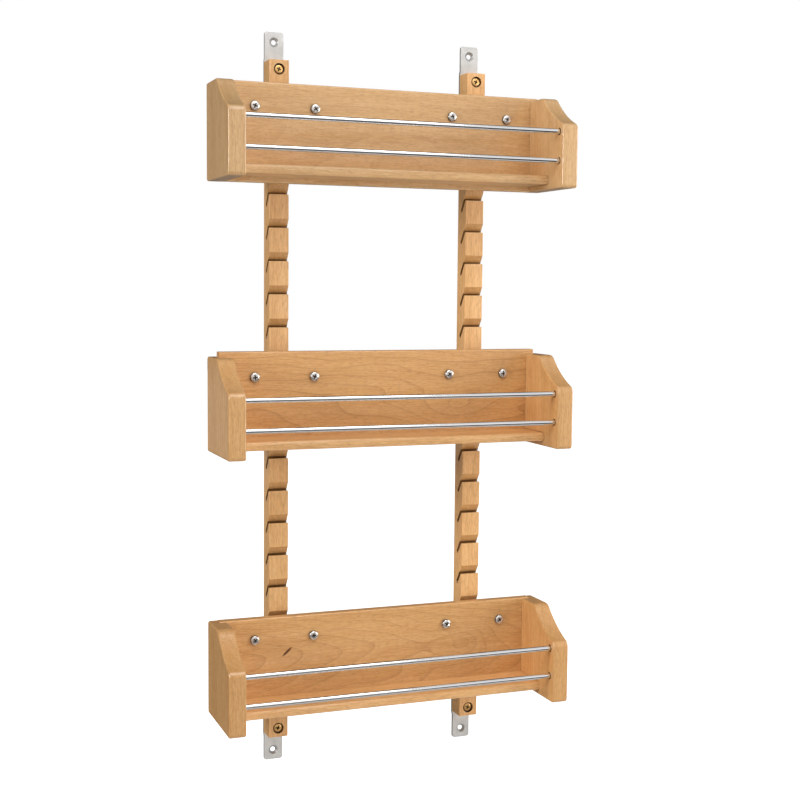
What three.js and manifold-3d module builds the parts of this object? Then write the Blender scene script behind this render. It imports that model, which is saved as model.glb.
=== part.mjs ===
// A hanging door rack: two notched wooden standards on steel strap brackets carry three
// lift-off wooden trays, each with two guard rods across its front.
// Millimetres. X runs across the rack, +Y points at the door behind it, +Z is up.
// The origin is on the door face, midway between the standards, level with the lower bracket tips.

import * as THREE from "three";
import { mergeVertices } from "three/addons/utils/BufferGeometryUtils.js";
import Module from "manifold-3d";

const wasm = await Module();
wasm.setup();

// ---- Driving dimensions ----

// Fits
const seatGap = 0.3; // between faces that meet
const holeClearance = 0.3; // round a screw's shank, on the radius
const slotClearance = 0.7; // each side of a hanger tongue in its kerf

// Tray side panels
const trayWidth = 322;
const sideThickness = 15.3;
const sideDepth = 79.8;
const sideHeight = 84.3;
const sideFrontHeight = 55.7;
const sideTopDepth = 37; // flat top, rear edge to the start of the slope
const slopeHollow = 3; // how far the slope dips below its chord
const sideFrontCorner = 3.6;
const sideRearCorner = 2.6;
const sideEdgeRound = 1.6;

// Tray back panel, held in a groove of each side
const backThickness = 9.5;
const backEdgeRound = 1.5;
const grooveDepth = 7.5;

// Tray shelf, housed in the sides
const shelfThickness = 8;
const shelfTop = 12.7; // above the foot of the sides
const shelfSetback = 28; // front edge behind the sides' front edges
const shelfNose = 3; // rounding of the front edge
const housingDepth = 5;

// Guard rods
const rodDiameter = 4.8;
const rodSetback = 7.8; // axis behind the sides' front edges
const upperRodHeight = 50.5;
const lowerRodHeight = 24.4;
const rodSocketDepth = 8;
const rodSocketRoom = 0.9; // round a rod, on the radius

// Standards
const standardInset = 65.7; // centre line in from the sides' outer faces
const standardWidth = 18;
const standardDepth = 18.5;
const standardLength = 613.5;

// Notches
const notchPitch = 29.66;
const firstToothDrop = 58.6; // top end down to the first tooth
const plainFoot = 45; // least wood left plain below the last tooth
const notchMouth = 8; // opening above each tooth
const notchAngle = THREE.MathUtils.degToRad(34.5); // kerf from the vertical
const notchWallLength = 19.4;

// Hangers
const hangerThickness = 1.6;
const hangerWidth = 68;
const hangerHeight = 17;
const hangerCorner = 3;
const hangerInboard = 1.9; // hanger centre inboard of the standard's centre
const tongueWidth = 13;
const tongueTipRoom = 0.65; // tip short of the round floor of the kerf
const standardGap = 0.6; // hanger plate to the standard's front face
const hookDrop = 34; // top of the sides down to the tooth the tray hangs on

// Strap brackets
const strapWidth = 17.6;
const strapThickness = 2.5;
const strapReach = 26.75; // beyond the end of the standard
const strapLeg = 30; // behind the standard
const strapCorner = 2.5;
const joggleStart = 0.8; // past the end of the standard
const joggleLength = 3;
const joggleDepth = 1.5;
const doorHoleDiameter = 4.5;
const countersinkDiameter = 8.6;
const doorHoleEdge = 9; // hole centre in from the tip

// Screws
const panHeadDiameter = 8.5;
const panHeadHeight = 2.6;
const panShankDiameter = 3.9;
const panScrewSpacing = 55.2;
const panScrewRise = 15.6; // above the tooth the tray hangs on
const panScrewExtra = 1.2; // past the hanger plate
const bracketHeadDiameter = 7.8;
const bracketHeadHeight = 2.2;
const bracketShankDiameter = 3.5;
const bracketScrewEdge = 8; // in from the end of the standard
const counterboreDiameter = 10.1;
const counterboreDepth = 3.4;
const headRim = 0.7; // straight part of a head's edge
const recessDepth = 1.4;
const recessWidth = 1;
const recessShare = 0.68; // of the head's diameter
const firstRecessTurn = 0.35;
const recessTurnStep = 0.5;

// ---- Places that follow from them ----

const standardX = trayWidth / 2 - standardInset;
const standardRearY = -(strapThickness + seatGap);
const rackFrontY = standardRearY - standardDepth; // the trays' rear edges line up here
const standardTopZ = strapReach + standardLength;
const notchCount = Math.floor((standardLength - firstToothDrop - plainFoot) / notchPitch) + 1;
const bottomTrayNotch = notchCount - 2;
const middleTrayNotch = Math.round(bottomTrayNotch / 2);
const slotWidth = hangerThickness + 2 * slotClearance;
const innerWidth = trayWidth - 2 * sideThickness;
const backInset = standardGap + hangerThickness + seatGap; // the hangers lie in this recess
const hookHeight = sideHeight - hookDrop;
const backFrontY = -(backInset + backThickness);
const hangerRearY = -standardGap;
const hangerFrontY = hangerRearY - hangerThickness;
const backHoleRadius = panShankDiameter / 2 + holeClearance;
const screwHeight = hookHeight + panScrewRise;

// Across, along and into a notch, seen from the side: (Y, Z) with the front face at Y = 0.
const wallNormal = new THREE.Vector2(Math.cos(notchAngle), Math.sin(notchAngle));
const kerfDirection = new THREE.Vector2(Math.sin(notchAngle), -Math.cos(notchAngle));
const kerfFloor = new THREE.Vector2(0, notchMouth)
  .addScaledVector(kerfDirection, notchWallLength)
  .addScaledVector(wallNormal, -slotWidth / 2);

// ---- Solids and booleans ----

function toSolid(geometry) {
  const bare = geometry.clone();
  bare.deleteAttribute("normal");
  bare.deleteAttribute("uv");
  const merged = mergeVertices(bare, 1e-4);
  const mesh = new wasm.Mesh({
    numProp: 3,
    vertProperties: merged.attributes.position.array,
    triVerts: new Uint32Array(merged.index.array),
  });
  return new wasm.Manifold(mesh);
}

function toGeometry(solid) {
  const mesh = solid.getMesh();
  const geometry = new THREE.BufferGeometry();
  geometry.setAttribute("position", new THREE.BufferAttribute(mesh.vertProperties, 3));
  geometry.setIndex(new THREE.BufferAttribute(mesh.triVerts, 1));
  geometry.computeVertexNormals();
  return geometry;
}

// A body less each of the cutters.
function cut(body, cutters) {
  const solid = cutters.reduce((rest, cutter) => rest.subtract(toSolid(cutter)), toSolid(body));
  return toGeometry(solid);
}

// ---- Outlines and extrusions ----

// A (Y, Z) outline extruded across X, centred on X = 0, its ends rounded by `round`.
function extrudeAcross(outline, width, round = 0) {
  const geometry = new THREE.ExtrudeGeometry(outline, {
    depth: width - 2 * round,
    bevelEnabled: round > 0,
    bevelThickness: round,
    bevelSize: round,
    bevelOffset: -round,
    bevelSegments: 2,
    curveSegments: 3,
  });
  geometry.translate(0, 0, round - width / 2);
  const alongX = new THREE.Matrix4().makeBasis(
    new THREE.Vector3(0, 1, 0),
    new THREE.Vector3(0, 0, 1),
    new THREE.Vector3(1, 0, 0),
  );
  return geometry.applyMatrix4(alongX);
}

// An (X, Z) outline extruded along Y, centred on Y = 0.
function extrudeThrough(outline, depth) {
  const geometry = new THREE.ExtrudeGeometry(outline, {
    depth,
    bevelEnabled: false,
    curveSegments: 4,
  });
  geometry.translate(0, 0, -depth / 2);
  return geometry.rotateX(Math.PI / 2);
}

// A rectangle with rounded corners, its low corner at (x, y).
function roundedRectangle(x, y, width, height, radius) {
  const right = x + width;
  const top = y + height;
  const outline = new THREE.Shape();
  outline.moveTo(x + radius, y);
  outline.absarc(right - radius, y + radius, radius, -Math.PI / 2, 0, false);
  outline.absarc(right - radius, top - radius, radius, 0, Math.PI / 2, false);
  outline.absarc(x + radius, top - radius, radius, Math.PI / 2, Math.PI, false);
  outline.absarc(x + radius, y + radius, radius, Math.PI, 1.5 * Math.PI, false);
  return outline;
}

// The outline of flat metal bent along a centre line.
function bentStrip(centreLine, thickness) {
  const near = [];
  const far = [];
  centreLine.forEach((point, i) => {
    const into = Math.max(i, 1);
    const out = Math.min(i + 1, centreLine.length - 1);
    const before = centreLine[into].clone().sub(centreLine[into - 1]).normalize();
    const after = centreLine[out].clone().sub(centreLine[out - 1]).normalize();
    const mitre = new THREE.Vector2(-before.y - after.y, before.x + after.x);
    mitre.multiplyScalar(thickness / mitre.lengthSq());
    near.push(point.clone().add(mitre));
    far.unshift(point.clone().sub(mitre));
  });
  return new THREE.Shape([...near, ...far]);
}

// A round bar or hole along Y, centred on the origin.
function barThrough(radius, length) {
  return new THREE.CylinderGeometry(radius, radius, length, 16);
}

// A round bar or hole along X, centred on the origin.
function barAcross(radius, length) {
  return barThrough(radius, length).rotateZ(Math.PI / 2);
}

// ---- Materials ----

function finish(color, roughness, metalness) {
  return new THREE.MeshStandardMaterial({ color, roughness, metalness });
}

const wood = finish(0xd3a271, 0.42, 0);
const chrome = finish(0xe6e8ea, 0.12, 1);
const zinc = finish(0xb9bcc0, 0.38, 1);
const nickel = finish(0xc9c6c1, 0.25, 1);
const brass = finish(0xa9854c, 0.35, 1);

function named(name, geometry, material) {
  const mesh = new THREE.Mesh(geometry, material);
  mesh.name = name;
  return mesh;
}

// ---- Standards ----

// Seen from the side, foot at Z = 0 and rear face at Y = 0, with the kerfs sawn down and back.
function standardOutline() {
  const front = -standardDepth;
  const ledge = notchMouth * Math.tan(notchAngle) - slotWidth / Math.cos(notchAngle);
  const outline = new THREE.Shape();
  outline.moveTo(0, 0);
  outline.lineTo(0, standardLength);
  outline.lineTo(front, standardLength);
  for (let i = 0; i < notchCount; i++) {
    const tooth = standardLength - firstToothDrop - i * notchPitch;
    outline.lineTo(front, tooth + notchMouth);
    outline.absarc(
      front + kerfFloor.x,
      tooth + kerfFloor.y,
      slotWidth / 2,
      notchAngle,
      notchAngle - Math.PI,
      true,
    );
    outline.lineTo(front + ledge, tooth);
    outline.lineTo(front, tooth);
  }
  outline.lineTo(front, 0);
  return outline;
}

function standard() {
  const cutters = [bracketScrewEdge, standardLength - bracketScrewEdge].flatMap((height) => {
    const bore = barThrough(bracketShankDiameter / 2 + holeClearance, 3 * standardDepth);
    const counterbore = barThrough(counterboreDiameter / 2, 2 * counterboreDepth);
    counterbore.translate(0, -standardDepth, 0);
    return [bore.translate(0, 0, height), counterbore.translate(0, 0, height)];
  });
  return cut(extrudeAcross(standardOutline(), standardWidth), cutters);
}

// ---- Strap brackets ----

// The end of the standard is at Z = 0 and the tab points up; the rear of the leg is at Y = 0.
function bracket() {
  const legY = -strapThickness / 2;
  const tabY = legY - joggleDepth;
  const centreLine = [
    new THREE.Vector2(legY, -strapLeg),
    new THREE.Vector2(legY, joggleStart),
    new THREE.Vector2(tabY, joggleStart + joggleLength),
    new THREE.Vector2(tabY, strapReach),
  ];
  const strap = extrudeAcross(bentStrip(centreLine, strapThickness), strapWidth);
  const face = roundedRectangle(
    -strapWidth / 2,
    -strapLeg,
    strapWidth,
    strapLeg + strapReach,
    strapCorner,
  );
  const rounded = toSolid(strap).intersect(toSolid(extrudeThrough(face, 8 * strapThickness)));
  const doorHole = countersunkHole();
  doorHole.translate(0, tabY - strapThickness / 2, strapReach - doorHoleEdge);
  const screwHole = barThrough(bracketShankDiameter / 2 + holeClearance, 4 * strapThickness);
  screwHole.translate(0, 0, -bracketScrewEdge);
  return cut(toGeometry(rounded), [doorHole, screwHole]);
}

// A hole along Y with its countersink opening at Y = 0.
function countersunkHole() {
  const wide = countersinkDiameter / 2;
  const narrow = doorHoleDiameter / 2;
  const profile = [
    new THREE.Vector2(0, -1),
    new THREE.Vector2(wide, -1),
    new THREE.Vector2(wide, 0),
    new THREE.Vector2(narrow, wide - narrow),
    new THREE.Vector2(narrow, 2 * strapThickness),
    new THREE.Vector2(0, 2 * strapThickness),
  ];
  return new THREE.LatheGeometry(profile, 16);
}

// ---- Screws ----

// A domed cross-recess screw along Y: the underside of its head is at Y = 0, its tip at Y = length.
function screw(headDiameter, headHeight, shankDiameter, length) {
  const head = headDiameter / 2;
  const shank = shankDiameter / 2;
  const dome = new THREE.QuadraticBezierCurve(
    new THREE.Vector2(0, -headHeight),
    new THREE.Vector2(head * 0.9, -headHeight),
    new THREE.Vector2(head, -headRim),
  );
  const profile = [
    ...dome.getPoints(3),
    new THREE.Vector2(head, 0),
    new THREE.Vector2(shank, 0),
    new THREE.Vector2(shank, length - shank),
    new THREE.Vector2(0, length),
  ];
  const recess = headDiameter * recessShare;
  const slots = [
    new THREE.BoxGeometry(recess, 2 * recessDepth, recessWidth),
    new THREE.BoxGeometry(recessWidth, 2 * recessDepth, recess),
  ];
  slots.forEach((slot) => slot.translate(0, -headHeight, 0));
  return cut(new THREE.LatheGeometry(profile, 14), slots);
}

// ---- Trays: rear edges of the sides at Y = 0, foot at Z = 0 ----

function sideOutline() {
  const front = -sideDepth;
  const foot = new THREE.Vector2(front, sideFrontHeight);
  const head = new THREE.Vector2(-sideTopDepth, sideHeight);
  const slope = head.clone().sub(foot).normalize();
  const slopeStart = foot.clone().addScaledVector(slope, sideFrontCorner);
  const slopeEnd = head.clone().addScaledVector(slope, -sideFrontCorner);
  const dip = slopeStart.clone().add(slopeEnd).multiplyScalar(0.5);
  dip.addScaledVector(new THREE.Vector2(slope.y, -slope.x), 2 * slopeHollow);
  const outline = new THREE.Shape();
  outline.moveTo(-sideRearCorner, 0);
  outline.lineTo(front + sideFrontCorner, 0);
  outline.quadraticCurveTo(front, 0, front, sideFrontCorner);
  outline.lineTo(front, sideFrontHeight - sideFrontCorner);
  outline.quadraticCurveTo(foot.x, foot.y, slopeStart.x, slopeStart.y);
  outline.quadraticCurveTo(dip.x, dip.y, slopeEnd.x, slopeEnd.y);
  outline.quadraticCurveTo(head.x, head.y, head.x + sideFrontCorner, sideHeight);
  outline.lineTo(-sideRearCorner, sideHeight);
  outline.quadraticCurveTo(0, sideHeight, 0, sideHeight - sideRearCorner);
  outline.lineTo(0, sideRearCorner);
  outline.quadraticCurveTo(0, 0, -sideRearCorner, 0);
  return outline;
}

// Centred on its own thickness; `hand` is -1 for the left side and +1 for the right.
function sidePanel(hand) {
  const innerFace = (-hand * sideThickness) / 2;
  const groove = new THREE.BoxGeometry(
    2 * grooveDepth,
    backThickness + 2 * seatGap,
    4 * sideHeight,
  );
  groove.translate(innerFace, -(backInset + backThickness / 2), 0);
  const housing = extrudeAcross(shelfOutline(seatGap), 2 * housingDepth);
  housing.translate(innerFace, 0, 0);
  const sockets = [lowerRodHeight, upperRodHeight].map((height) => {
    const socket = barAcross(rodDiameter / 2 + rodSocketRoom, 2 * rodSocketDepth);
    return socket.translate(innerFace, rodSetback - sideDepth, height);
  });
  const blank = extrudeAcross(sideOutline(), sideThickness, sideEdgeRound);
  return cut(blank, [groove, housing, ...sockets]);
}

// The shelf from the side, grown by `grow` all round for its housing.
function shelfOutline(grow) {
  const front = shelfSetback - sideDepth - grow;
  const rear = backFrontY - seatGap + grow;
  const low = shelfTop - shelfThickness - grow;
  const high = shelfTop + grow;
  const outline = new THREE.Shape();
  outline.moveTo(rear, low);
  outline.lineTo(rear, high);
  outline.lineTo(front + shelfNose, high);
  outline.quadraticCurveTo(front, high, front, high - shelfNose);
  outline.lineTo(front, low + shelfNose);
  outline.quadraticCurveTo(front, low, front + shelfNose, low);
  return outline;
}

function shelf() {
  return extrudeAcross(shelfOutline(0), innerWidth + 2 * (housingDepth - seatGap));
}

// X places of a tray's four back screws, left to right.
function screwPlaces() {
  const centre = standardX - hangerInboard;
  const half = panScrewSpacing / 2;
  return [-centre - half, -centre + half, centre - half, centre + half];
}

// `rise` is how far the panel's top edge stands above the sides.
function backPanel(rise) {
  const outline = roundedRectangle(
    -(backInset + backThickness),
    0,
    backThickness,
    sideHeight + rise,
    backEdgeRound,
  );
  const width = innerWidth + 2 * (grooveDepth - seatGap);
  const holes = screwPlaces().map((x) => {
    return barThrough(backHoleRadius, 6 * backThickness).translate(x, 0, screwHeight);
  });
  return cut(extrudeAcross(outline, width), holes);
}

// A plate behind the back panel whose tongue is bent down and back into a kerf.
function hanger() {
  const plateY = (hangerRearY + hangerFrontY) / 2;
  const along = (plateY - kerfFloor.x) / kerfDirection.x;
  const bend = kerfFloor.clone().addScaledVector(kerfDirection, along);
  const tip = kerfFloor.clone().addScaledVector(kerfDirection, slotWidth / 2 - tongueTipRoom);
  const bendHeight = hookHeight + bend.y;
  const centreLine = [
    new THREE.Vector2(plateY, bendHeight + hangerHeight / 2),
    new THREE.Vector2(plateY, bendHeight),
    new THREE.Vector2(tip.x, hookHeight + tip.y),
  ];
  const tongue = extrudeAcross(bentStrip(centreLine, hangerThickness), tongueWidth);
  const plate = extrudeThrough(
    roundedRectangle(-hangerWidth / 2, bendHeight, hangerWidth, hangerHeight, hangerCorner),
    hangerThickness,
  );
  plate.translate(0, plateY, 0);
  const holes = [-1, 1].map((hand) => {
    const hole = barThrough(backHoleRadius, 6 * hangerThickness);
    return hole.translate((hand * panScrewSpacing) / 2, 0, screwHeight);
  });
  return cut(toGeometry(toSolid(plate).add(toSolid(tongue))), holes);
}

function rod() {
  return barAcross(rodDiameter / 2, innerWidth + 2 * (rodSocketDepth - seatGap));
}

const sideGeometry = { left: sidePanel(-1), right: sidePanel(1) };
const shelfGeometry = shelf();
const hangerGeometry = hanger();
const rodGeometry = rod();
const panScrewGeometry = screw(
  panHeadDiameter,
  panHeadHeight,
  panShankDiameter,
  seatGap - backFrontY + hangerRearY + panScrewExtra,
);

function tray(name, notch, backRise) {
  const group = new THREE.Group();
  const tooth = standardTopZ - firstToothDrop - notch * notchPitch;
  group.position.set(0, rackFrontY, tooth - hookHeight);
  for (const [side, hand] of [["left", -1], ["right", 1]]) {
    const panel = named(`${name}_${side}_side`, sideGeometry[side], wood);
    panel.position.x = (hand * (trayWidth - sideThickness)) / 2;
    const plate = named(`${name}_${side}_hanger`, hangerGeometry, zinc);
    plate.position.x = hand * (standardX - hangerInboard);
    group.add(panel, plate);
  }
  group.add(named(`${name}_back_panel`, backPanel(backRise), wood));
  group.add(named(`${name}_shelf`, shelfGeometry, wood));
  for (const [place, height] of [["upper", upperRodHeight], ["lower", lowerRodHeight]]) {
    const guard = named(`${name}_${place}_rod`, rodGeometry, chrome);
    guard.position.set(0, rodSetback - sideDepth, height);
    group.add(guard);
  }
  screwPlaces().forEach((x, i) => {
    const fastener = named(`${name}_screw_${i + 1}`, panScrewGeometry, nickel);
    fastener.position.set(x, backFrontY - seatGap, screwHeight);
    fastener.rotation.y = firstRecessTurn + i * recessTurnStep;
    group.add(fastener);
  });
  return group;
}

// ---- Assembly ----

const rack = new THREE.Group();

const standardGeometry = standard();
const bracketGeometry = bracket();
const bracketScrewGeometry = screw(
  bracketHeadDiameter,
  bracketHeadHeight,
  bracketShankDiameter,
  standardDepth - counterboreDepth + strapThickness,
);

for (const [side, hand] of [["left", -1], ["right", 1]]) {
  const column = new THREE.Group();
  column.position.x = hand * standardX;
  rack.add(column);
  const post = named(`${side}_standard`, standardGeometry, wood);
  post.position.set(0, standardRearY, strapReach);
  column.add(post);
  const ends = [
    { level: "upper", end: standardTopZ, inward: -1, turn: 0 },
    { level: "lower", end: strapReach, inward: 1, turn: Math.PI },
  ];
  for (const { level, end, inward, turn } of ends) {
    const strap = named(`${level}_${side}_bracket`, bracketGeometry, zinc);
    strap.position.z = end;
    // The lower bracket is the upper one turned over about Y.
    strap.rotation.y = turn;
    const fastener = named(`${level}_${side}_bracket_screw`, bracketScrewGeometry, brass);
    fastener.position.y = rackFrontY + counterboreDepth - seatGap;
    fastener.position.z = end + inward * bracketScrewEdge;
    fastener.rotation.y = firstRecessTurn;
    column.add(strap, fastener);
  }
}

rack.add(tray("top", 0, 2.8));
rack.add(tray("middle", middleTrayNotch, 4.4));
rack.add(tray("bottom", bottomTrayNotch, 0.8));

export default rack;
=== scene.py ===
# A door rack of notched wooden standards, strap brackets and three lift-off trays,
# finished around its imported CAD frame. Metres; X across, +Y towards the door, +Z up.
import math

import bmesh
import bpy
from mathutils import Euler, Matrix, Vector


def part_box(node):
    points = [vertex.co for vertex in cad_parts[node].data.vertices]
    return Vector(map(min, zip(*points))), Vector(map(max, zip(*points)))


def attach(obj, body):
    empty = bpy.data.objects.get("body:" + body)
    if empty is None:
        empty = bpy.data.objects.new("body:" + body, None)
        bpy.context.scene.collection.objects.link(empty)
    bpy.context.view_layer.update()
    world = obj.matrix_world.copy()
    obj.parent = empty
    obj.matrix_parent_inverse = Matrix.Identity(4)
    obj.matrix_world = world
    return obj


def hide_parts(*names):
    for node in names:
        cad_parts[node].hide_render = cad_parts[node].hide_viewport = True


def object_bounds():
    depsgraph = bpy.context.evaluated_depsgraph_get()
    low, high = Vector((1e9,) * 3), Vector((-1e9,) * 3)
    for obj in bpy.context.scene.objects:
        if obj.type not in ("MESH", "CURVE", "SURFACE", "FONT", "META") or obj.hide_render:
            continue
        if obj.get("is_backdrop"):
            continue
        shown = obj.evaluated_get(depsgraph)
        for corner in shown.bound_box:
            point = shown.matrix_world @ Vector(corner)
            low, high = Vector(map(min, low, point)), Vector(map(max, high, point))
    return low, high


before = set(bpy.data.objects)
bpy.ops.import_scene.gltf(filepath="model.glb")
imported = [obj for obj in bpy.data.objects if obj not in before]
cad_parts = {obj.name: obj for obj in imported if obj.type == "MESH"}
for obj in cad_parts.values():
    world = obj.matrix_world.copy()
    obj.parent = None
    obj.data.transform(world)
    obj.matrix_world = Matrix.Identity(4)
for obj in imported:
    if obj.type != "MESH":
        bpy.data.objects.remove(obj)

cad_low, cad_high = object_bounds()


# ---- Standards ---------------------------------------------------------------
# Two straight-grained wooden uprights, sawn from the front with a row of kerfs that slope
# down and back, so that a tray can be hung at any of them. Planed, with a small arris.

MM = 0.001
HANDS = (("left", -1), ("right", 1))
KERF_ANGLE = math.radians(34.5)
KERF_WIDTH = 3.0 * MM
KERF_WALL = 19.4 * MM
KERF_MOUTH = 8 * MM
NOTCH_PITCH = 29.66 * MM
NOTCH_COUNT = 18
FIRST_TOOTH_DROP = 58.6 * MM
STANDARD_ARRIS = 0.4 * MM
SCREW_EDGE = 8 * MM
COUNTERBORE = {"radius": 5.05 * MM, "depth": 3.4 * MM}
BRACKET_SCREW_BORE = 2.05 * MM
# Painted shade on the standards, as (tone, warmth) of darker copies of the beech: deep in the
# kerfs and counterbores, where it also stands for the darker drilled wood, and on the kerfs'
# slopes that face down.
SHADED_CUT_TONES = {"shade_in_recess": (0.30, 0.15), "shade_on_slope": (0.76, 0.08)}
SHADE_DEPTH = 0.3 * MM
STANDARD_RING_GAP = 4.2 * MM
WELD = 0.005 * MM
PAST = 10 * MM

TINY = 1e-6
CREASE = 35
STANDARD_CREASE = 25
STANDARD_TONES = {"left": 1.10, "right": 1.26}
KERF_MIDDLE = 0.3
SLOPE_FACING = -0.4

RING_SHARPNESS = 14.0
WOOD_NOISE = {
    "wander": ((7, 22, 22), 2, 0.4),
    "streaks": ((7, 95, 95), 4, 0.6),
    "fibres": ((70, 1000, 1000), 3, 0.65),
    "mottle": ((9, 26, 26), 2, 0.5),
    "flecks": ((210, 1250, 1250), 1, 0.5),
}
SHARES = {"ring": 0.10, "fibres": 0.30, "mottle": 0.25, "fleck": 0.34, "end_grain": 0.16}
VARNISH = {"Specular IOR Level": 0.3, "Coat Weight": 0.75, "Coat Roughness": 0.12}
PALE_TO_DEEP = [
    (0.30, (0.730, 0.445, 0.205)),
    (0.46, (0.680, 0.392, 0.165)),
    (0.60, (0.620, 0.338, 0.130)),
    (0.78, (0.520, 0.262, 0.090)),
]
LATE_WOOD = (0.34, 0.155, 0.060)
RAY_FLECK = (0.36, 0.180, 0.070)
END_GRAIN = (0.46, 0.250, 0.105)
BARK = (0.11, 0.028, 0.012, 1)


def add_node(tree, kind, inputs=None, **settings):
    """Add a shader node; inputs are values or the sockets that feed them."""
    made = tree.nodes.new(kind)
    for key, value in settings.items():
        setattr(made, key, value)
    for key, value in (inputs or {}).items():
        if isinstance(value, bpy.types.NodeSocket):
            tree.links.new(value, made.inputs[key])
        else:
            made.inputs[key].default_value = value
    return made


def new_finish(name):
    """An empty material: its node tree and its main shader."""
    material = bpy.data.materials.new(name)
    material.use_nodes = True
    return material, material.node_tree, material.node_tree.nodes["Principled BSDF"]


def ramp(tree, fac, stops):
    """A colour ramp of (position, colour) stops."""
    made = add_node(tree, "ShaderNodeValToRGB", {"Fac": fac})
    elements = made.color_ramp.elements
    while len(elements) < len(stops):
        elements.new(0.5)
    for element, (position, color) in zip(elements, stops):
        element.position = position
        element.color = (*color, 1)
    return made.outputs["Color"]


def remap(tree, value, low, high, to_low=0.0, to_high=1.0):
    """Rescale a value, clamped to its new range."""
    inputs = {
        "Value": value,
        "From Min": low,
        "From Max": high,
        "To Min": to_low,
        "To Max": to_high,
    }
    return add_node(tree, "ShaderNodeMapRange", inputs).outputs["Result"]


def stretched(tree, coords, scale):
    """Coordinates scaled by (along the grain, across, across)."""
    inputs = {0: coords, 1: scale}
    return add_node(tree, "ShaderNodeVectorMath", inputs, operation="MULTIPLY").outputs[0]


def blend(tree, a, b, share):
    """A value between two others."""
    inputs = {"Factor": share, 2: a, 3: b}
    return add_node(tree, "ShaderNodeMix", inputs, data_type="FLOAT").outputs[0]


def tint(tree, share, under, over):
    """A colour between two others."""
    inputs = {"Factor": share, 6: under, 7: over}
    return add_node(tree, "ShaderNodeMix", inputs, data_type="RGBA").outputs[2]


def calculate(tree, operation, a, b=0.0):
    """One sum on two values."""
    return add_node(tree, "ShaderNodeMath", {0: a, 1: b}, operation=operation).outputs[0]


def swirl_bump(tree, board, swirl):
    """A smooth bump in the rings at one place of a board."""
    along, side, half_length, half_width, height = swirl
    sizes = (1 / half_length, 0, 1 / half_width)
    inputs = {
        "Vector": board,
        "Location": (-along * sizes[0], 0, -side * sizes[2]),
        "Scale": sizes,
    }
    spot = add_node(tree, "ShaderNodeMapping", inputs).outputs[0]
    bump = add_node(
        tree, "ShaderNodeTexGradient", {"Vector": spot}, gradient_type="QUADRATIC_SPHERE"
    ).outputs["Fac"]
    return calculate(tree, "MULTIPLY", bump, height)


def bark_streak(tree, board, mark):
    """How strongly a short slanted streak of bark shows at each place of a board."""
    along, side, half_length, half_width, tilt = mark
    moved = add_node(
        tree, "ShaderNodeVectorMath", {0: board, 1: (along, 0, side)}, operation="SUBTRACT"
    ).outputs[0]
    inputs = {"Vector": moved, "Rotation": (0, tilt, 0)}
    slanted = add_node(tree, "ShaderNodeMapping", inputs).outputs[0]
    spot = stretched(tree, slanted, (1 / half_length, 0, 1 / half_width))
    streak = add_node(
        tree, "ShaderNodeTexGradient", {"Vector": spot}, gradient_type="SPHERICAL"
    ).outputs["Fac"]
    return remap(tree, streak, 0.0, 0.35, 0.0, 0.92)


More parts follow.
